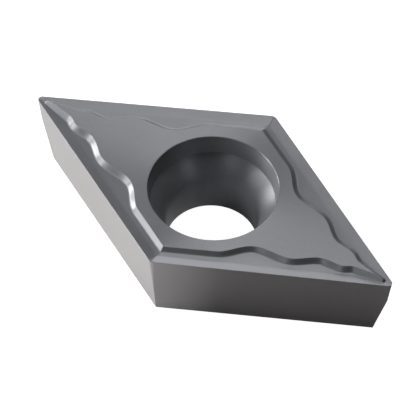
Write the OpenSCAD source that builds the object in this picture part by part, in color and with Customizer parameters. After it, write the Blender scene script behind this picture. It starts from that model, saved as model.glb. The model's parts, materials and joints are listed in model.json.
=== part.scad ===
// Rhombic turning insert of cemented carbide, pressed and sintered as one piece.
// The origin is on the hole's axis, in the plane of the seating face.
// X runs through the two acute noses, Y through the two obtuse corners.

/* [Blank] */
// Diameter of the circle that touches all four cutting edges
inscribed_d = 9.525; // [9.2:0.005:12.7]
// Angle between the two cutting edges that meet at a nose
nose_angle = 55; // [52:1:60]
// Height of the cutting edge at a nose, above the seating face
thickness = 3.97; // [3.2:0.01:6]
// Relief angle of the four flanks
relief = 7; // [5:0.5:11]
// Radius of an acute nose at the cutting edge
nose_r = 0.2; // [0.1:0.05:0.4]
// Radius of an obtuse corner at the cutting edge
heel_r = 0.35; // [0.1:0.05:0.6]
// Radius left on a corner lower down, where the relief has used up the rest
arris_r = 0.03; // [0.02:0.01:0.06]
// Rise of the cutting edge on its way from a nose to an obtuse corner
edge_rise = 0.138; // [0.05:0.005:0.2]

/* [Chip groove] */
// Height of the flat top land above the noses
land_rise = 0.165; // [0.12:0.005:0.3]
// Width of the sloping rake face behind the cutting edge
rake_w = 0.53; // [0.3:0.01:0.6]
// Depth of the groove's floor below the cutting edge at a nose
floor_drop = 0.08; // [0.04:0.005:0.13]
// Rise of the floor on its way from a nose to an obtuse corner
floor_rise = 0.09; // [0:0.005:0.13]
// Width of the wall between the floor and the top land
wall_run = 0.23; // [0.18:0.01:0.3]
// Size of the fillet at the wall's foot, as a share of its width
foot_blend = 0.5; // [0.2:0.05:0.5]
// Size of the rounding at the wall's top, as a share of its width
brow_blend = 0.12; // [0.06:0.02:0.3]

/* [Wavy wall] */
// Distance of the wall from the cutting edge in the bay next to the nose
bay_1_in = 0.81; // [0.76:0.01:0.88]
// Distance along the edge from the sharp corner to that bay
bay_1_at = 1.9; // [1.8:0.05:2.1]
// Distance of the wall from the cutting edge at the first crest
crest_1_in = 0.71; // [0.65:0.01:0.75]
// Place of the first crest along the edge
crest_1_at = 2.5; // [2.35:0.05:2.8]
// Distance of the wall from the cutting edge in the middle bay
bay_2_in = 1.07; // [0.95:0.01:1.2]
// Place of the middle bay along the edge
bay_2_at = 3.75; // [3.5:0.05:4.1]
// Distance of the wall from the cutting edge at the second crest
crest_2_in = 0.86; // [0.77:0.01:0.94]
// Place of the second crest along the edge
crest_2_at = 5; // [4.7:0.05:5.3]
// Distance of the wall from the cutting edge in the widest bay
bay_3_in = 1.38; // [1.25:0.01:1.45]
// Place of the widest bay along the edge
bay_3_at = 6.9; // [6.6:0.05:7.2]
// Distance of the wall from the cutting edge on its straight stretch
straight_in = 0.87; // [0.8:0.01:0.96]
// Place where the straight stretch starts along the edge
straight_at = 8.6; // [8.2:0.05:8.8]

/* [Tongue] */
// Distance from a sharp corner to the middle of the tongue's front
tongue_at = 0.68; // [0.62:0.01:0.76]
// Half the width of the tongue at that distance
tongue_half_w = 0.05; // [0.03:0.005:0.07]
// Angle that each side of the tongue turns away from its centre line
tongue_flare = 9.2; // [8:0.1:11]

/* [Screw hole] */
// Diameter of the cylindrical bore
bore_d = 4.4; // [4:0.1:4.8]
// Radius of the curved seat for the screw's head
seat_r = 2; // [1.4:0.1:2.6]
// Diameter where the curved seat ends in a crease
crease_d = 6; // [5.6:0.05:6.15]
// Depth of the crease below the top land
crease_depth = 1.03; // [0.6:0.01:1.3]
// Diameter of the rim at the top land
rim_d = 6.26; // [6.2:0.02:6.6]
// Width of the small chamfer round the rim
rim_hone = 0.03; // [0.01:0.01:0.06]

/* [Smoothness] */
// Steps round half of an acute nose
nose_steps = 6; // [3:1:8]
// Steps along one straight cutting edge
edge_steps = 60; // [40:1:80]
// Steps round half of an obtuse corner
heel_steps = 4; // [2:1:6]
// Steps along the curved seat
seat_steps = 10; // [6:1:16]

/* [Hidden] */

half_angle = nose_angle / 2;
normal = [sin(half_angle), cos(half_angle)];
along = [-cos(half_angle), sin(half_angle)];
inradius = inscribed_d / 2;
sharp_nose = [inradius / sin(half_angle), 0];
edge_length = inradius / sin(half_angle) / cos(half_angle);
heel_top = thickness + edge_rise;
land_z = thickness + land_rise;
stations = nose_steps + edge_steps + heel_steps;

// The outline's size and its corner radii at a height z, with the relief taken off
function reach(z) = inradius + (z - thickness) * tan(relief);
function nose_radius(z) = max(arris_r, nose_r - (thickness - z) * tan(relief));
function heel_radius(z) = max(arris_r, heel_r - (heel_top - z) * tan(relief));
function nose_centre(z) = [(reach(z) - nose_radius(z)) / sin(half_angle), 0];
function heel_centre(z) = [0, (reach(z) - heel_radius(z)) / cos(half_angle)];
function ray(angle) = [cos(angle), sin(angle)];
function level(point, z) = [point[0], point[1], z];
function blend(a, b, t) = a * (1 - t) + b * t;

// A quarter of the outline, from the X axis to the Y axis. Its two ends may be at two heights.
function outline_point(i, nose_z, heel_z) =
    i <= nose_steps
    ? level(nose_centre(nose_z) + nose_radius(nose_z) * ray((90 - half_angle) * i / nose_steps), nose_z)
    : i >= nose_steps + edge_steps
    ? level(heel_centre(heel_z)
        + heel_radius(heel_z) * ray(90 - half_angle * (stations - i) / heel_steps), heel_z)
    : blend(
        level(nose_centre(nose_z) + nose_radius(nose_z) * normal, nose_z),
        level(heel_centre(heel_z) + heel_radius(heel_z) * normal, heel_z),
        (i - nose_steps) / edge_steps);

// Lengths of the three stretches of the cutting edge's quarter, and each station's share of them
nose_arc = nose_r * (90 - half_angle) * PI / 180;
heel_arc = heel_r * half_angle * PI / 180;
nose_start = nose_r / tan(half_angle);
heel_start = edge_length - heel_r * tan(half_angle);
straight_run = heel_start - nose_start;
quarter_run = nose_arc + straight_run + heel_arc;
function run_at(i) =
    i <= nose_steps
    ? nose_arc * i / nose_steps
    : i >= nose_steps + edge_steps
    ? quarter_run - heel_arc * (stations - i) / heel_steps
    : nose_arc + straight_run * (i - nose_steps) / edge_steps;
function share(i) = run_at(i) / quarter_run;

// Smooth steps and smooth limits. The blend k is the width over which two values merge.
function clamp01(t) = min(1, max(0, t));
function smooth(t) = clamp01(t) * clamp01(t) * (3 - 2 * clamp01(t));
function merge(gap, k) = pow(max(k - abs(gap), 0) / k, 3) * k / 6;
function soft_min(a, b, k) = min(a, b) - merge(a - b, k);
function soft_max(a, b, k) = max(a, b) + merge(a - b, k);

// The wall's line: its distance from the cutting edge at the distance u from the sharp corner
turns = [
    [bay_1_at, bay_1_in],
    [crest_1_at, crest_1_in],
    [bay_2_at, bay_2_in],
    [crest_2_at, crest_2_in],
    [bay_3_at, bay_3_in],
    [straight_at, straight_in]
];
tongue_slope = tan(half_angle - tongue_flare);
tongue_u = tongue_at * cos(half_angle) + tongue_half_w * sin(half_angle);
tongue_in = tongue_at * sin(half_angle) - tongue_half_w * cos(half_angle);
turn_blend = 0.12;
slope_step = 0.01;
function swing(u, i) =
    (turns[i + 1][1] - turns[i][1]) * smooth((u - turns[i][0]) / (turns[i + 1][0] - turns[i][0]));
function wave(u, i = 0) = i == len(turns) - 1 ? bay_1_in : swing(u, i) + wave(u, i + 1);
function tongue_side(u) = tongue_in + tongue_slope * (u - tongue_u);
function wall_in(u) = soft_min(tongue_side(u), wave(u), turn_blend);
function wall_slope(u) = (wall_in(u + slope_step) - wall_in(u - slope_step)) / (2 * slope_step);
function wall_stretch(u) = sqrt(1 + pow(wall_slope(u), 2));

// Place in the plan from the distances along and in from the cutting edge's plan line
function edge_share(u) = clamp01((u - nose_start) / straight_run);
function edge_z(u) = thickness + edge_rise * edge_share(u);
function plan(u, v) = sharp_nose + (reach(edge_z(u)) - inradius - v) * normal + u * along;

// Distance in from the rounded outline
function gap_in(u, v) =
    u < nose_start
    ? nose_r - norm([nose_start - u, nose_r - v])
    : u > heel_start
    ? heel_r - norm([u - heel_start, heel_r - v])
    : v;

// Height of the top: the rake and the floor, and the wall that climbs from them to the land
rake_blend = 0.02;
tongue_blend = 0.04;
function floor_z(u) = thickness - floor_drop + floor_rise * edge_share(u);
function rake_z(u, gap) = edge_z(u) - (edge_z(u) - floor_z(u)) * gap / rake_w;
function tongue_front(u, v) = (u * cos(half_angle) + v * sin(half_angle)) - tongue_at;
function into_wall(u, v) = soft_min((v - wall_in(u)) / wall_stretch(u), tongue_front(u, v), tongue_blend);
function climb(d) = soft_max(0, soft_min(1, d / wall_run + 1 / 2, brow_blend), foot_blend);
function groove_z(u, v) = soft_max(rake_z(u, gap_in(u, v)), floor_z(u), rake_blend);
function top_z(u, v) =
    soft_max(groove_z(u, v), blend(floor_z(u), land_z, climb(into_wall(u, v))), rake_blend);

// Lines that the mesh follows across the wall, as shares of its width
wall_lines = [-foot_blend, 0, foot_blend, 1 - brow_blend, 1, 1 + brow_blend];
rake_place = 0.6;
foot_gap = 0.85;
function line_offset(k) = (wall_lines[k] - 1 / 2) * wall_run;
tongue_stretch = sqrt(1 + pow(tongue_slope, 2));
function side_cross(k) =
    (line_offset(k) * tongue_stretch + tongue_in - tongue_slope * tongue_u)
    / (tan(half_angle) - tongue_slope) / cos(half_angle);
nose_tip = nose_r / sin(half_angle) - nose_r;
line_clear = 0.02;
function line_cross(k) = max(nose_tip + line_clear * (k + 2), tongue_at + line_offset(k), side_cross(k));
function line_in(u, k) = wall_in(u) + line_offset(k) * wall_stretch(u);
last_line = len(wall_lines) - 1;

// A line starts on the X axis in front of the tongue and joins its place on the wall at the first bay
rake_cross = blend(nose_tip, line_cross(0), rake_place);
function cross_at(k) = k < 0 ? rake_cross : line_cross(k);
function place_in(u, k) = k < 0 ? min(rake_w, foot_gap * line_in(u, 0)) : line_in(u, k);
function start_share(k) =
    cross_at(k) * sin(half_angle) / line_in(cross_at(k) * cos(half_angle), last_line);
function joined(u, k) = smooth((u - cross_at(k) * cos(half_angle)) / (bay_1_at - cross_at(k) * cos(half_angle)));
function line_v(u, k) = line_in(u, last_line)
    * blend(start_share(k), place_in(u, k) / line_in(u, last_line), joined(u, k));
function line_end(k) = edge_length - place_in(edge_length, k) * tan(half_angle);
function line_u(i, k) = blend(cross_at(k) * cos(half_angle), line_end(k), share(i));

function on_axes(point, i) = [i == stations ? 0 : point[0], i == 0 ? 0 : point[1]];
function relief_point(i, k) =
    level(on_axes(plan(line_u(i, k), line_v(line_u(i, k), k)), i),
        k == last_line ? land_z : top_z(line_u(i, k), line_v(line_u(i, k), k)));

// Heights of the flank's rings: the seat, and where each pair of corners comes down to its arris
nose_low = thickness - (nose_r - arris_r) / tan(relief);
heel_low = heel_top - (heel_r - arris_r) / tan(relief);
low = min(nose_low, heel_low);
high = max(nose_low, heel_low);
flank_levels = concat([0], low > 0 ? [low] : [], high > max(low, 0) ? [high] : []);

// Quarters of every ring, from the seat up over the cutting edge to the land
quarters = concat(
    [for (z = flank_levels) [for (i = [0:stations]) outline_point(i, z, z)]],
    [[for (i = [0:stations]) outline_point(i, thickness, heel_top)]],
    [for (k = [-1:last_line]) [for (i = [0:stations]) relief_point(i, k)]]
);
function mirrored(point, sx, sy) = [point[0] * sx, point[1] * sy, point[2]];
function full_ring(quarter) = concat(
    [for (i = [0:stations - 1]) mirrored(quarter[i], 1, 1)],
    [for (i = [stations:-1:1]) mirrored(quarter[i], -1, 1)],
    [for (i = [0:stations - 1]) mirrored(quarter[i], -1, -1)],
    [for (i = [stations:-1:1]) mirrored(quarter[i], 1, -1)]
);
ring_size = 4 * stations;
body_points = [for (quarter = quarters) each full_ring(quarter)];

// Two triangles for each step of a band, cut the same way in mirrored quarters
function corner(ring, i) = ring * ring_size + i % ring_size;
function band_faces(ring, i) =
    floor(i / stations) % 2 == 0
    ? [[corner(ring, i), corner(ring + 1, i), corner(ring + 1, i + 1)],
        [corner(ring, i), corner(ring + 1, i + 1), corner(ring, i + 1)]]
    : [[corner(ring, i), corner(ring + 1, i), corner(ring, i + 1)],
        [corner(ring + 1, i), corner(ring + 1, i + 1), corner(ring, i + 1)]];
body_faces = concat(
    [[for (i = [0:ring_size - 1]) i]],
    [for (ring = [0:len(quarters) - 2]) for (i = [0:ring_size - 1]) each band_faces(ring, i)],
    [[for (i = [ring_size - 1:-1:0]) corner(len(quarters) - 1, i)]]
);

module pressed_body() {
    polyhedron(points = body_points, faces = body_faces, convexity = 6);
}

// The bore, its curved seat, the crease and the steep band up to the rim
bore_r = bore_d / 2;
crease_r = crease_d / 2;
crease_z = land_z - crease_depth;
seat_turn = acos(1 - (crease_r - bore_r) / seat_r);
seat_low = crease_z - seat_r * sin(seat_turn);
cut_over = 0.5;
seat_curve = [
    for (i = [0:seat_steps])
        [bore_r + seat_r * (1 - cos(seat_turn * i / seat_steps)), seat_low + seat_r * sin(seat_turn * i / seat_steps)]
];
hole_profile = concat(
    [[0, -cut_over], [bore_r, -cut_over]],
    seat_curve,
    [
        [rim_d / 2, land_z - rim_hone],
        [rim_d / 2 + rim_hone + cut_over, land_z + cut_over],
        [0, land_z + cut_over]
    ]
);

module screw_hole() {
    rotate_extrude($fn = 128) polygon(hole_profile);
}

module insert() {
    color("gray")
        difference() {
            pressed_body();
            screw_hole();
        }
}

insert();
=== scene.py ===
# Rhombic turning insert of cemented carbide on a pale studio floor.
# Sizes in the dictionaries are millimetres and degrees; meshes are in metres, in the frame of the CAD.
import json
from math import acos, atan2, cos, hypot, pi, radians, sin, sqrt, tan

import bmesh
import bpy
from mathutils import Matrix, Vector


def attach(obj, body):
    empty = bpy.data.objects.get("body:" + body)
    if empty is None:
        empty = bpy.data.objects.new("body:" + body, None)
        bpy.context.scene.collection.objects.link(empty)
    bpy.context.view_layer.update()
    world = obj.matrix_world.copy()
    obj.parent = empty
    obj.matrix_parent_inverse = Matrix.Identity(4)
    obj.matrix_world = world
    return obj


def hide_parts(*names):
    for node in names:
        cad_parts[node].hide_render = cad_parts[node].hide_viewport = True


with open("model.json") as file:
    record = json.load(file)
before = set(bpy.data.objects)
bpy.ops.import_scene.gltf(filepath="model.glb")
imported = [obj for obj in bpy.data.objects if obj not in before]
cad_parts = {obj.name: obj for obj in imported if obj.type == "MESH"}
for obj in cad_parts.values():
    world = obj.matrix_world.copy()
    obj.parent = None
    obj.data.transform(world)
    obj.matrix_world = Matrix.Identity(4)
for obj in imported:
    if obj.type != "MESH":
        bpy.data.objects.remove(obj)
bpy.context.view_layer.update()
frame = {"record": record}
mm = 0.001
print("frame loaded")


def addNode(tree, kind, inputs=None, output=0, **settings):
    # adds one node, gives it its settings, links or fills its inputs, and returns one of its outputs
    node = tree.nodes.new(kind)
    for name, value in settings.items():
        setattr(node, name, value)
    for key, value in (inputs or {}).items():
        if isinstance(value, bpy.types.NodeSocket):
            tree.links.new(value, node.inputs[key])
        else:
            node.inputs[key].default_value = value
    return node.outputs[output] if node.outputs else node


def linear(hexColour):
    shares = [int(hexColour[i:i + 2], 16) / 255 for i in (1, 3, 5)]
    return [c / 12.92 if c <= 0.04045 else ((c + 0.055) / 1.055) ** 2.4 for c in shares] + [1]


# The insert: one ring of points after another, from the bore's lower edge out under the insert,
# up the flanks, over the cutting edge and the groove, and down the hole back to the start
insert = {
    "inscribed": 9.525,  # circle that touches the four cutting edges
    "noseAngle": 55,
    "thickness": 3.97,  # height of the cutting edge at a nose
    "relief": 7,
    "noseRadius": 0.2,
    "heelRadius": 0.35,  # the obtuse corners
    "arrisRadius": 0.03,  # what the relief leaves of a corner lower down
    "edgeRise": 0.138,  # from a nose to an obtuse corner
    "edgeHone": 0.02,
    "landRise": 0.165,  # top land above the noses
    "rakeWidth": 0.53,
    "floorDrop": 0.08,
    "floorRise": 0.09,
    "floorBlend": 0.02,
    "wallWidth": 0.23,
    "footBlend": 0.5,  # shares of the wall's width
    "browBlend": 0.12,
    "wallTurns": (  # how far along the edge, and how far in from it
        (1.9, 0.81), (2.5, 0.71), (3.75, 1.07), (5, 0.86), (6.9, 1.38), (8.6, 0.87)),
    "turnBlend": 0.12,
    "tongueAt": 0.68,
    "tongueHalfWidth": 0.05,
    "tongueFlare": 9.2,
    "tongueBlend": 0.04,
    "rimDiameter": 6.26,
    "rimHone": 0.06,
    "creaseDiameter": 6,
    "creaseDepth": 1.03,
    "seatRadius": 2,
    "noseSteps": 14,
    "edgeSteps": 150,
    "heelSteps": 12,
    "honeSteps": 6,
    "rakeSteps": 26,
    "wallSteps": 26,
    "landSteps": 6,
    "rimSteps": 4,
    "seatSteps": 20,
    # Plain stretches: shares of the way across, where the outer ones keep the shading crisp at the edges
    "undersideRings": (0.02, 0.3, 0.6, 0.98),
    "flankFoot": 0.04,  # height of the lowest ring on the flank
    "flankDepths": (0.9, 0.5, 0.2, 0.04),  # below the cutting edge
    "landClose": 0.98,
    "bandRings": (0.04, 0.5, 0.96),
    "boreRings": (0.98, 0.6, 0.3, 0.02),
}

bore = next(m for m in frame["record"]["mounts"] if m["name"] == "screw_bore")
boreRadius = bore["dims"]["r_mm"]
thickness = insert["thickness"]
heelTop = thickness + insert["edgeRise"]
landTop = thickness + insert["landRise"]
half = radians(insert["noseAngle"] / 2)
slant = tan(radians(insert["relief"]))
inradius = insert["inscribed"] / 2
sharpNose = Vector((inradius / sin(half), 0))
outward = Vector((sin(half), cos(half)))
towardsHeel = Vector((-cos(half), sin(half)))
edgeLength = inradius / sin(half) / cos(half)
noseStart = insert["noseRadius"] / tan(half)
heelStart = edgeLength - insert["heelRadius"] * tan(half)
stations = insert["noseSteps"] + insert["edgeSteps"] + insert["heelSteps"]


def ease(t):
    t = min(1, max(0, t))
    return t * t * (3 - 2 * t)


def softMin(a, b, blend):
    return min(a, b) - max(blend - abs(a - b), 0) ** 3 / (6 * blend * blend)


def mix(a, b, share):
    return a * (1 - share) + b * share


def ray(angle):
    return Vector((cos(angle), sin(angle)))


# Outline
def reach(z):
    return inradius + (z - thickness) * slant


def cornerRadius(z, top, radius):
    return max(insert["arrisRadius"], radius - (top - z) * slant)


def outlinePoint(station, noseZ, heelZ, inset=0):
    # a quarter of the outline, from the X axis to the Y axis, at two heights that may differ
    noseRound = cornerRadius(noseZ, thickness, insert["noseRadius"])
    heelRound = cornerRadius(heelZ, heelTop, insert["heelRadius"])
    noseCentre = Vector(((reach(noseZ) - noseRound) / sin(half), 0, noseZ))
    heelCentre = Vector((0, (reach(heelZ) - heelRound) / cos(half), heelZ))
    onEdge = station - insert["noseSteps"]
    if onEdge <= 0:
        turn = (pi / 2 - half) * station / insert["noseSteps"]
        return noseCentre + (noseRound - inset) * ray(turn).to_3d()
    if onEdge >= insert["edgeSteps"]:
        turn = pi / 2 - half * (stations - station) / insert["heelSteps"]
        return heelCentre + (heelRound - inset) * ray(turn).to_3d()
    start = noseCentre + (noseRound - inset) * outward.to_3d()
    end = heelCentre + (heelRound - inset) * outward.to_3d()
    return mix(start, end, onEdge / insert["edgeSteps"])


noseArc = insert["noseRadius"] * (pi / 2 - half)
heelArc = insert["heelRadius"] * half
quarterRun = noseArc + heelStart - noseStart + heelArc


def shareAt(station):
    onEdge = station - insert["noseSteps"]
    if onEdge <= 0:
        return noseArc * station / insert["noseSteps"] / quarterRun
    if onEdge >= insert["edgeSteps"]:
        return 1 - heelArc * (stations - station) / insert["heelSteps"] / quarterRun
    return (noseArc + (heelStart - noseStart) * onEdge / insert["edgeSteps"]) / quarterRun


# Plan of the groove: u runs along a cutting edge from its sharp corner, v in from it
def waveIn(u):
    turns = insert["wallTurns"]
    swings = ((b[1] - a[1]) * ease((u - a[0]) / (b[0] - a[0])) for a, b in zip(turns, turns[1:]))
    return turns[0][1] + sum(swings)


tongueSlope = tan(half - radians(insert["tongueFlare"]))
tongueU = insert["tongueAt"] * cos(half) + insert["tongueHalfWidth"] * sin(half)
tongueIn = insert["tongueAt"] * sin(half) - insert["tongueHalfWidth"] * cos(half)


def wallIn(u):
    return softMin(tongueIn + tongueSlope * (u - tongueU), waveIn(u), insert["turnBlend"])


def wallStretch(u, step=0.01):
    return sqrt(1 + ((wallIn(u + step) - wallIn(u - step)) / (2 * step)) ** 2)


def edgeLift(u):
    return insert["edgeRise"] * min(1, max(0, (u - noseStart) / (heelStart - noseStart)))


def planPoint(u, v):
    return (sharpNose + towardsHeel * u + outward * (edgeLift(u) * slant - v)).to_3d()


def wallMarks(point):
    # what the press rule needs to know of a point: how far along the edge it is, how far in from the
    # rounded outline, how far past the wall's line and how far past the tongue's front
    fromNose = point.to_2d() - sharpNose
    u = fromNose @ towardsHeel
    v = edgeLift(u) * slant - fromNose @ outward
    gap = v
    if u < noseStart:
        gap = insert["noseRadius"] - hypot(noseStart - u, insert["noseRadius"] - v)
    if u > heelStart:
        gap = insert["heelRadius"] - hypot(u - heelStart, insert["heelRadius"] - v)
    front = u * cos(half) + v * sin(half) - insert["tongueAt"]
    return u, gap, (v - wallIn(u)) / wallStretch(u), front


# Rings that follow the wall, at a place given as a share of its width
browPlace = 1 + insert["browBlend"]
joinAt = insert["wallTurns"][0][0]


def wallLine(u, place):
    return wallIn(u) + (place - 0.5) * insert["wallWidth"] * wallStretch(u)


def wallCrossing(place):
    offset = (place - 0.5) * insert["wallWidth"]
    side = offset * sqrt(1 + tongueSlope ** 2) + tongueIn - tongueSlope * tongueU
    return max(insert["tongueAt"] + offset, side / (tan(half) - tongueSlope) / cos(half))


def wallPoint(station, place):
    crossing = wallCrossing(place)
    start = crossing * cos(half)
    end = edgeLength - wallLine(edgeLength, place) * tan(half)
    u = mix(start, end, shareAt(station))
    brow = wallLine(u, browPlace)
    startShare = crossing * sin(half) / wallLine(start, browPlace)
    joined = ease((u - start) / (joinAt - start))
    return planPoint(u, brow * mix(startShare, wallLine(u, place) / brow, joined))


# Circles have their points in line with the wall's brow, so that no face of the land folds over
holeTurns = [atan2(p.y, p.x) for p in (wallPoint(station, browPlace) for station in range(stations + 1))]


def circlePoint(station, radius, z):
    return (radius * ray(holeTurns[station])).to_3d() + Vector((0, 0, z))


def ringOf(place, marked=False):
    # a quarter ring: its points, held on the two axes at its ends, with their marks where it is pressed
    points = [place(station) for station in range(stations + 1)]
    points[0].y = points[-1].x = 0
    return [(p, wallMarks(p) if marked else None) for p in points]


def blendRings(a, b, share, marked=False):
    points = [mix(p, q, share) for (p, _), (q, _) in zip(a, b)]
    return [(p, wallMarks(p) if marked else None) for p in points]


# Profile of the hole, from the rim down
rimRadius = insert["rimDiameter"] / 2
creaseRadius = insert["creaseDiameter"] / 2
creaseZ = landTop - insert["creaseDepth"]
seatTurn = acos(1 - (creaseRadius - boreRadius) / insert["seatRadius"])
seatLow = creaseZ - insert["seatRadius"] * sin(seatTurn)


def rimProfile(t):
    outer = Vector((rimRadius + insert["rimHone"], landTop))
    corner = Vector((rimRadius, landTop))
    lower = Vector((rimRadius, landTop - insert["rimHone"]))
    return mix(mix(outer, corner, t), mix(corner, lower, t), t)


def seatProfile(t):
    turn = seatTurn * (1 - t)
    return boreRadius + insert["seatRadius"] * (1 - cos(turn)), seatLow + insert["seatRadius"] * sin(turn)


def holeRing(profile):
    return ringOf(lambda station: circlePoint(station, *profile))


def layRings():
    # returns the quarter rings in order, the numbers of those that are sharp edges, and which have
    # which finish
    boreEdge = holeRing((boreRadius, 0))
    underside = ringOf(lambda station: outlinePoint(station, 0, 0))
    rings = [boreEdge] + [blendRings(boreEdge, underside, t) for t in insert["undersideRings"]]
    sharp = [0, len(rings)]
    rings.append(underside)
    finishes = {"undersideGround": range(len(rings))}

    noseLow = thickness - (insert["noseRadius"] - insert["arrisRadius"]) / slant
    heelLow = heelTop - (insert["heelRadius"] - insert["arrisRadius"]) / slant
    for z in (insert["flankFoot"], heelLow, noseLow):
        rings.append(ringOf(lambda station, z=z: outlinePoint(station, z, z)))
    for below in insert["flankDepths"]:
        rings.append(ringOf(lambda station, d=below: outlinePoint(station, thickness - d, heelTop - d)))

    finishes["flankGround"] = range(sharp[1], len(rings))
    for step in range(insert["honeSteps"] + 1):
        inset = insert["edgeHone"] * (1 - cos(pi / 2 * step / insert["honeSteps"]))
        rings.append(ringOf(lambda station, d=inset: outlinePoint(station, thickness, heelTop, d), True))
    honeEnd = rings[-1]
    foot = ringOf(lambda station: wallPoint(station, -insert["footBlend"]), True)
    for step in range(1, insert["rakeSteps"]):
        rings.append(blendRings(honeEnd, foot, step / insert["rakeSteps"], True))
    rings.append(foot)
    for step in range(1, insert["wallSteps"]):
        place = mix(-insert["footBlend"], browPlace, step / insert["wallSteps"])
        rings.append(ringOf(lambda station, s=place: wallPoint(station, s), True))
    finishes["alongEdge"] = range(sharp[1], len(rings))
    brow = ringOf(lambda station: wallPoint(station, browPlace) + Vector((0, 0, landTop)))
    rim = holeRing(rimProfile(0))
    rings.append(brow)
    rings += [blendRings(brow, rim, (step / insert["landSteps"]) ** 2)
              for step in range(1, insert["landSteps"])]
    rings.append(blendRings(brow, rim, insert["landClose"]))

    rings += [holeRing(rimProfile(step / insert["rimSteps"])) for step in range(insert["rimSteps"] + 1)]
    holeStart = len(rings)
    bandTop = Vector(rimProfile(1))
    bandFoot = Vector((creaseRadius, creaseZ))
    rings += [holeRing(mix(bandTop, bandFoot, t)) for t in insert["bandRings"]]
    sharp.append(len(rings))
    rings.append(holeRing(bandFoot))
    rings += [holeRing(seatProfile(step / insert["seatSteps"]))
              for step in range(1, insert["seatSteps"] + 1)]
    rings += [holeRing((boreRadius, seatLow * t)) for t in insert["boreRings"]]
    finishes["holePressed"] = range(holeStart, len(rings))
    return rings, sharp, finishes


def fullRing(quarter):
    # mirrors a quarter ring to the other three
    there, back = range(stations), range(stations, 0, -1)
    turns = ((there, 1, 1), (back, -1, 1), (there, -1, -1), (back, 1, -1))
    return [(quarter[i][0] * Vector((sx, sy, 1)), quarter[i][1])
            for order, sx, sy in turns for i in order]


# What a pressed point carries for the press rule, and the skins that have a finish of their own
markNames = ("along", "gap", "past", "front")
skinNames = ("undersideGround", "flankGround", "holePressed")


def layBlank():
    rings, sharp, finishes = layRings()
    bm = bmesh.new()
    marks = [bm.verts.layers.float.new(name) for name in markNames]
    pressed = bm.verts.layers.bool.new("pressed")
    skins = [(bm.verts.layers.float.new(name), finishes[name]) for name in skinNames]
    lay = bm.verts.layers.float_vector.new("lay")
    made = []
    for number, quarter in enumerate(rings):
        ring = []
        for point, values in fullRing(quarter):
            vert = bm.verts.new(point * mm)
            if values:
                vert[pressed] = True
                for layer, value in zip(marks, values):
                    vert[layer] = value
            for layer, numbers in skins:
                vert[layer] = number in numbers
            ring.append(vert)
        made.append(ring)
    outline = made[sharp[1]]
    neighbours = zip(outline[-1:] + outline, outline[1:] + outline[:1])
    edgeWays = [after.co - before.co for before, after in neighbours]
    for number, ring in enumerate(made):
        for vert, edgeWay in zip(ring, edgeWays):
            circleWay = Vector((-vert.co.y, vert.co.x, 0)) / (rimRadius * mm)
            otherWay = Vector((1, 0, 0)) if number in finishes["undersideGround"] else circleWay
            vert[lay] = edgeWay.normalized() if number in finishes["alongEdge"] else otherWay
    count = 4 * stations
    for ring, after in zip(made, made[1:] + made[:1]):
        for i in range(count):
            j = (i + 1) % count
            bm.faces.new((ring[i], after[i], after[j], ring[j])).smooth = True
    for number in sharp:
        ring = made[number]
        for i in range(count):
            bm.edges.get((ring[i], ring[(i + 1) % count])).smooth = False
    bmesh.ops.recalc_face_normals(bm, faces=bm.faces)
    mesh = bpy.data.meshes.new("insertBlank")
    bm.to_mesh(mesh)
    bm.free()
    blank = bpy.data.objects.new("insertBody", mesh)
    bpy.context.scene.collection.objects.link(blank)
    return blank


# The press rule, in millimetres: each row names a value, the operation and what it works on
pressRule = (
    ("edgeRun", "SUBTRACT", "along", "Nose Start"),
    ("edgeShareRaw", "DIVIDE", "edgeRun", "Straight Run"),
    ("edgeShareLow", "MAXIMUM", "edgeShareRaw", 0),
    ("edgeShare", "MINIMUM", "edgeShareLow", 1),
    ("edgeClimb", "MULTIPLY", "edgeShare", "Edge Rise"),
    ("edge", "ADD", "Thickness", "edgeClimb"),
    ("floorClimb", "MULTIPLY", "edgeShare", "Floor Rise"),
    ("floorStart", "SUBTRACT", "Thickness", "Floor Drop"),
    ("floor", "ADD", "floorStart", "floorClimb"),
    ("fall", "SUBTRACT", "edge", "floor"),
    ("rakeShare", "DIVIDE", "gap", "Rake Width"),
    ("rakeFall", "MULTIPLY", "fall", "rakeShare"),
    ("rake", "SUBTRACT", "edge", "rakeFall"),
    ("pastWall", "SMOOTH_MIN", "past", "front", "Tongue Blend"),
    ("wallShare", "DIVIDE", "pastWall", "Wall Width"),
    ("wallPlace", "ADD", "wallShare", 0.5),
    ("brow", "SMOOTH_MIN", "wallPlace", 1, "Brow Blend"),
    ("climb", "SMOOTH_MAX", "brow", 0, "Foot Blend"),
    ("land", "ADD", "Thickness", "Land Rise"),
    ("wallHeight", "SUBTRACT", "land", "floor"),
    ("wallClimb", "MULTIPLY", "wallHeight", "climb"),
    ("wall", "ADD", "floor", "wallClimb"),
    ("groove", "SMOOTH_MAX", "rake", "floor", "Floor Blend"),
    ("top", "SMOOTH_MAX", "groove", "wall", "Floor Blend"),
    ("honeShare", "DIVIDE", "gap", "Edge Hone"),
    ("honeLeft", "SUBTRACT", 1, "honeShare"),
    ("honeSide", "MAXIMUM", "honeLeft", 0),
    ("honeSquare", "MULTIPLY", "honeSide", "honeSide"),
    ("honeRest", "SUBTRACT", 1, "honeSquare"),
    ("honeSafe", "MAXIMUM", "honeRest", 0),
    ("honeRise", "SQRT", "honeSafe"),
    ("honeDrop", "SUBTRACT", 1, "honeRise"),
    ("honeFall", "MULTIPLY", "honeDrop", "Edge Hone"),
    ("height", "SUBTRACT", "top", "honeFall"),
    ("heightInMetres", "MULTIPLY", "height", mm),
)
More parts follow.
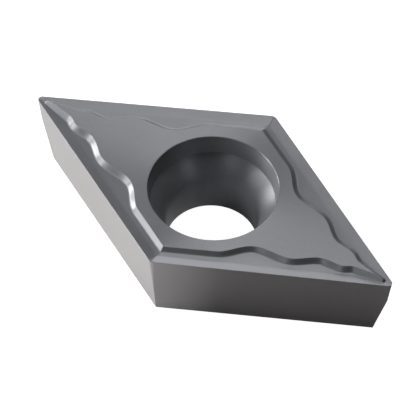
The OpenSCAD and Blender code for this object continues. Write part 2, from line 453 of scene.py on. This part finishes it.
pressSizes = {
    "Nose Start": noseStart,
    "Straight Run": heelStart - noseStart,
    "Thickness": thickness,
    "Edge Rise": insert["edgeRise"],
    "Edge Hone": insert["edgeHone"],
    "Land Rise": insert["landRise"],
    "Rake Width": insert["rakeWidth"],
    "Floor Drop": insert["floorDrop"],
    "Floor Rise": insert["floorRise"],
    "Floor Blend": insert["floorBlend"],
    "Wall Width": insert["wallWidth"],
    "Foot Blend": insert["footBlend"],
    "Brow Blend": insert["browBlend"],
    "Tongue Blend": insert["tongueBlend"],
}


def makePress():
    # the punch: it moves the blank's pressed points up or down to the height that the rule gives
    tree = bpy.data.node_groups.new("groovePress", "GeometryNodeTree")
    tree.interface.new_socket("Blank", in_out="INPUT", socket_type="NodeSocketGeometry")
    for name in pressSizes:
        tree.interface.new_socket(name, in_out="INPUT", socket_type="NodeSocketFloat")
    tree.interface.new_socket("Finish", in_out="INPUT", socket_type="NodeSocketMaterial")
    tree.interface.new_socket("Pressed Body", in_out="OUTPUT", socket_type="NodeSocketGeometry")
    entry = tree.nodes.new("NodeGroupInput")
    values = {name: entry.outputs[name] for name in pressSizes}
    for name in markNames:
        values[name] = addNode(tree, "GeometryNodeInputNamedAttribute", {"Name": name}, data_type="FLOAT")
    for name, operation, *terms in pressRule:
        inputs = {i: values.get(term, term) for i, term in enumerate(terms)}
        values[name] = addNode(tree, "ShaderNodeMath", inputs, operation=operation)
    pressed = addNode(tree, "GeometryNodeInputNamedAttribute", {"Name": "pressed"}, data_type="BOOLEAN")
    place = addNode(tree, "GeometryNodeInputPosition")
    apart = addNode(tree, "ShaderNodeSeparateXYZ", {0: place}).node
    moved = addNode(tree, "ShaderNodeCombineXYZ",
                    {0: apart.outputs[0], 1: apart.outputs[1], 2: values["heightInMetres"]})
    body = addNode(tree, "GeometryNodeSetPosition",
                   {0: entry.outputs["Blank"], "Selection": pressed, "Position": moved})
    body = addNode(tree, "GeometryNodeRealizeInstances", {0: body})
    body = addNode(tree, "GeometryNodeSetMaterial", {0: body, "Material": entry.outputs["Finish"]})
    addNode(tree, "NodeGroupOutput", {0: body})
    return tree


def pressInsert(finish):
    blank = layBlank()
    print("blank laid:", len(blank.data.polygons), "faces")
    press = blank.modifiers.new("groovePress", "NODES")
    press.node_group = makePress()
    for item in press.node_group.interface.items_tree:
        if item.in_out == "INPUT" and item.name in pressSizes:
            press[item.identifier] = pressSizes[item.name]
        if item.name == "Finish":
            press[item.identifier] = finish
    graph = bpy.context.evaluated_depsgraph_get()
    pressed = bpy.data.meshes.new_from_object(
        blank.evaluated_get(graph), preserve_all_data_layers=True, depsgraph=graph)
    blank.modifiers.remove(press)
    blank.data = pressed
    for name in (*markNames, "pressed"):
        pressed.attributes.remove(pressed.attributes[name])
    print("groove pressed:", len(pressed.vertices), "points")
    return blank


# Cemented carbide, pressed and sintered: tungsten carbide grains in cobalt, a dense grey. The skin of the
# top is left as sintered and gives the eye a smooth graphite satin with soft, wide highlights, faint clouds
# and pores. The hole has the same skin, but a little rougher. The flanks and the underside are ground, a
# little lighter and warmer, with fine marks along the way of the wheel.
carbide = {
    "colour": "#94959A",
    "groundColour": "#9A9797",
    "metallic": 0.5,
    "roughness": 0.33,
    "groundRoughness": 0.38,
    "holeRoughness": 0.44,
    "spread": 0.8,  # highlights spread across the lay, which follows the edges and the hole
    "spreadTurn": 0.25,
    "detail": 2,
    "grainWidth": 0.11,  # the real grains are about 0.002 wide, drawn as coarse as they need to show
    "grainTone": 0.05,
    "grainGloss": 0.04,
    "grainHeight": 0.002,
    "cloudWidth": 1.8,
    "cloudDetail": 3,
    "cloudTone": 0.05,
    "cloudGloss": 0.03,
    "poreSpacing": 0.42,  # the real pores are too fine to show as well
    "poreWidth": 0.03,
    "poreTone": 0.08,
    "markSpacing": 0.045,  # grinding marks are about 0.01 apart
    "markStretch": 30,
    "markTone": 0.05,
    "markHeight": 0.0008,
}


def makeCarbide():
    material = bpy.data.materials.new("sinteredCementedCarbide")
    material.use_nodes = True
    tree = material.node_tree
    shader = tree.nodes["Principled BSDF"]
    shader.inputs["Metallic"].default_value = carbide["metallic"]
    place = addNode(tree, "ShaderNodeTexCoord", output="Object")

    def about(value, swing, start):
        # start, plus or minus the swing, as a pattern goes from dark to light
        risen = addNode(tree, "ShaderNodeMath", {0: value, 1: 2 * swing, 2: -swing},
                        operation="MULTIPLY_ADD")
        return addNode(tree, "ShaderNodeMath", {0: risen, 1: start}, operation="ADD")

    grain = addNode(tree, "ShaderNodeTexNoise", {
        "Vector": place, "Scale": 1 / (carbide["grainWidth"] * mm), "Detail": carbide["detail"]})
    cloud = addNode(tree, "ShaderNodeTexNoise", {
        "Vector": place, "Scale": 1 / (carbide["cloudWidth"] * mm), "Detail": carbide["cloudDetail"]})
    pores = addNode(tree, "ShaderNodeTexVoronoi", {
        "Vector": place, "Scale": 1 / (carbide["poreSpacing"] * mm), "Randomness": 1})
    poreEdge = carbide["poreWidth"] / carbide["poreSpacing"]
    pore = addNode(tree, "ShaderNodeMapRange", {
        "Value": pores, "From Min": poreEdge, "From Max": 2 * poreEdge,
        "To Min": carbide["poreTone"], "To Max": 0})
    long = 1 / carbide["markStretch"]
    ground = 0
    marks = 0
    for name, run in (("flankGround", (long, long, 1)), ("undersideGround", (long, 1, long))):
        share = addNode(tree, "ShaderNodeAttribute", output="Fac", attribute_name=name)
        along = addNode(tree, "ShaderNodeMapping", {"Vector": place, "Scale": run})
        scratches = addNode(tree, "ShaderNodeTexNoise", {
            "Vector": along, "Scale": 1 / (carbide["markSpacing"] * mm), "Detail": carbide["detail"]})
        mark = about(scratches, 1, 0)
        marks = addNode(tree, "ShaderNodeMath", {0: mark, 1: share, 2: marks}, operation="MULTIPLY_ADD")
        ground = addNode(tree, "ShaderNodeMath", {0: share, 1: ground}, operation="MAXIMUM")

    speckled = about(grain, carbide["grainTone"], about(cloud, carbide["cloudTone"], 1))
    pitted = addNode(tree, "ShaderNodeMath", {0: speckled, 1: pore}, operation="SUBTRACT")
    tone = addNode(tree, "ShaderNodeMath", {0: marks, 1: carbide["markTone"], 2: pitted},
                   operation="MULTIPLY_ADD")
    # the colour inputs of this node have the numbers 6 and 7, and its colour output has 2
    colour = addNode(tree, "ShaderNodeMix", {
        "Factor": ground, 6: linear(carbide["colour"]), 7: linear(carbide["groundColour"])},
        output=2, data_type="RGBA")
    toned = addNode(tree, "ShaderNodeHueSaturation", {"Color": colour, "Value": tone})
    tree.links.new(toned, shader.inputs["Base Color"])

    skinGloss = addNode(tree, "ShaderNodeMapRange", {
        "Value": ground, "To Min": carbide["roughness"], "To Max": carbide["groundRoughness"]})
    hole = addNode(tree, "ShaderNodeAttribute", output="Fac", attribute_name="holePressed")
    gloss = addNode(tree, "ShaderNodeMapRange", {
        "Value": hole, "To Min": skinGloss, "To Max": carbide["holeRoughness"]})
    varied = about(grain, carbide["grainGloss"], about(cloud, carbide["cloudGloss"], gloss))
    tree.links.new(varied, shader.inputs["Roughness"])

    skin = addNode(tree, "ShaderNodeMath", {0: grain, 1: carbide["grainHeight"] * mm}, operation="MULTIPLY")
    height = addNode(tree, "ShaderNodeMath", {0: marks, 1: carbide["markHeight"] * mm, 2: skin},
                     operation="MULTIPLY_ADD")
    bump = addNode(tree, "ShaderNodeBump", {"Height": height, "Strength": 1, "Distance": 1})
    tree.links.new(bump, shader.inputs["Normal"])
    lay = addNode(tree, "ShaderNodeAttribute", output="Vector", attribute_name="lay")
    tree.links.new(lay, shader.inputs["Tangent"])
    shader.inputs["Anisotropic"].default_value = carbide["spread"]
    shader.inputs["Anisotropic Rotation"].default_value = carbide["spreadTurn"]
    return material


body = pressInsert(makeCarbide())
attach(body, "root")
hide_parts("insert")

# Studio: a pale floor of matt paper. The camera sees it as white. Reflections see a painted pool of light
# on it, a glow that is full on the window's side and fades out across the insert. On the other side, where
# the insert shades it from the window, they see it as it is lit.
studio = {
    "floorWidth": 1600,
    "floorColour": "#C8C8C8",
    "floorRoughness": 0.9,
    "whiteness": 0.97,
    # strength of the painted pool of light that reflections see on the floor
    "paintedPoolStrength": 1.05,
    "paintedPoolSide": 210,  # the way to the painted pool of light, in degrees round from X
    "paintedPoolEdge": -0.5,  # distances from the hole's axis towards the window, where the painted pool of light begins and where it is full
    "paintedPoolFull": 4.3,
    "floorGap": 0.02,  # keeps the floor clear of the underside
}


def makeFloor():
    side = studio["floorWidth"] / 2 * mm
    ways = ((-1, -1), (1, -1), (1, 1), (-1, 1))
    corners = [(x * side, y * side, -studio["floorGap"] * mm) for x, y in ways]
    mesh = bpy.data.meshes.new("studioFloor")
    mesh.from_pydata(corners, [], [(0, 1, 2, 3)])
    floor = bpy.data.objects.new("studioFloor", mesh)
    bpy.context.scene.collection.objects.link(floor)
    material = bpy.data.materials.new("mattPaperSweep")
    material.use_nodes = True
    tree = material.node_tree
    shader = tree.nodes["Principled BSDF"]
    shader.inputs["Base Color"].default_value = linear(studio["floorColour"])
    shader.inputs["Roughness"].default_value = studio["floorRoughness"]
    rays = addNode(tree, "ShaderNodeLightPath").node
    mirrored = addNode(tree, "ShaderNodeMath", {
        0: rays.outputs["Is Glossy Ray"], 1: rays.outputs["Is Transmission Ray"]}, operation="ADD")
    place = addNode(tree, "ShaderNodeTexCoord", output="Object")
    towardsWindow = ray(radians(studio["paintedPoolSide"])).to_3d()
    distance = addNode(tree, "ShaderNodeVectorMath", {0: place, 1: towardsWindow}, output="Value",
                       operation="DOT_PRODUCT")
    # the painted pool of light: a glow that reflections see, rising from nothing to full towards the window
    lit = addNode(tree, "ShaderNodeMapRange", {
        "Value": distance, "From Min": studio["paintedPoolEdge"] * mm, "From Max": studio["paintedPoolFull"] * mm,
        "To Max": studio["paintedPoolStrength"]})
    mirroredGlow = addNode(tree, "ShaderNodeMath", {0: mirrored, 1: lit}, operation="MULTIPLY")
    glow = addNode(tree, "ShaderNodeMath", {
        0: rays.outputs["Is Camera Ray"], 1: studio["whiteness"], 2: mirroredGlow},
        operation="MULTIPLY_ADD")
    shader.inputs["Emission Color"].default_value = (1, 1, 1, 1)
    tree.links.new(glow, shader.inputs["Emission Strength"])
    mesh.materials.append(material)


makeFloor()

# A dim room
air = {"grey": 0.8, "strength": 0.01}
studioAir = bpy.data.worlds.new("studioAir")
bpy.context.scene.world = studioAir
studioAir.use_nodes = True
background = studioAir.node_tree.nodes["Background"]
background.inputs["Color"].default_value = (air["grey"], air["grey"], air["grey"], 1)
background.inputs["Strength"].default_value = air["strength"]

# Soft lamps: four for a window on the left, faint ones in front and on the right, three behind the insert
# and one overhead. Each has the way to it, in degrees round from X and up from the floor, and its watts.
lamps = {
    "windowFoot": {"round": 215, "up": 5, "power": 0.24},
    "windowLeft": {"round": 185, "up": 22, "power": 0.231},
    "windowRight": {"round": 225, "up": 22, "power": 0.045},
    "windowTop": {"round": 200, "up": 44, "power": 0.123},
    "front": {"round": 270, "up": 44, "power": 0.022},
    "right": {"round": 350, "up": 32, "power": 0.018},
    "behindLow": {"round": 118, "up": 22, "power": 0.064},
    "behindLeft": {"round": 136, "up": 32, "power": 0.059},
    "behindHigh": {"round": 100, "up": 56, "power": 0.03},
    "overhead": {"round": 120, "up": 70, "power": 0.053},
}
lampDistance = 250
lampWidth = 80
for name, lamp in lamps.items():
    light = bpy.data.lights.new(name, "AREA")
    light.shape = "DISK"
    light.size = lampWidth * mm
    light.energy = lamp["power"]
    holder = bpy.data.objects.new(name, light)
    up = radians(lamp["up"])
    way = (cos(up) * ray(radians(lamp["round"]))).to_3d() + Vector((0, 0, sin(up)))
    holder.location = way * lampDistance * mm
    holder.rotation_euler = way.to_track_quat("Z", "Y").to_euler()
    bpy.context.scene.collection.objects.link(holder)

# Camera: a long lens, so that the perspective is as slight as in the photo
camera = {
    "place": (93.19, -149.08, 225.21),
    "turn": (38.360, -1.063, 33.552),
    "lens": 533.5,
    "sensorWidth": 36,
    "clipStart": 10,
}
cameraData = bpy.data.cameras.new("studioCamera")
cameraData.lens = camera["lens"]
cameraData.sensor_width = camera["sensorWidth"]
cameraData.clip_start = camera["clipStart"] * mm
cameraHolder = bpy.data.objects.new("studioCamera", cameraData)
cameraHolder.location = Vector(camera["place"]) * mm
cameraHolder.rotation_euler = [radians(a) for a in camera["turn"]]
bpy.context.scene.collection.objects.link(cameraHolder)
bpy.context.scene.camera = cameraHolder
bpy.context.scene.view_settings.view_transform = "Standard"
print("studio lit")
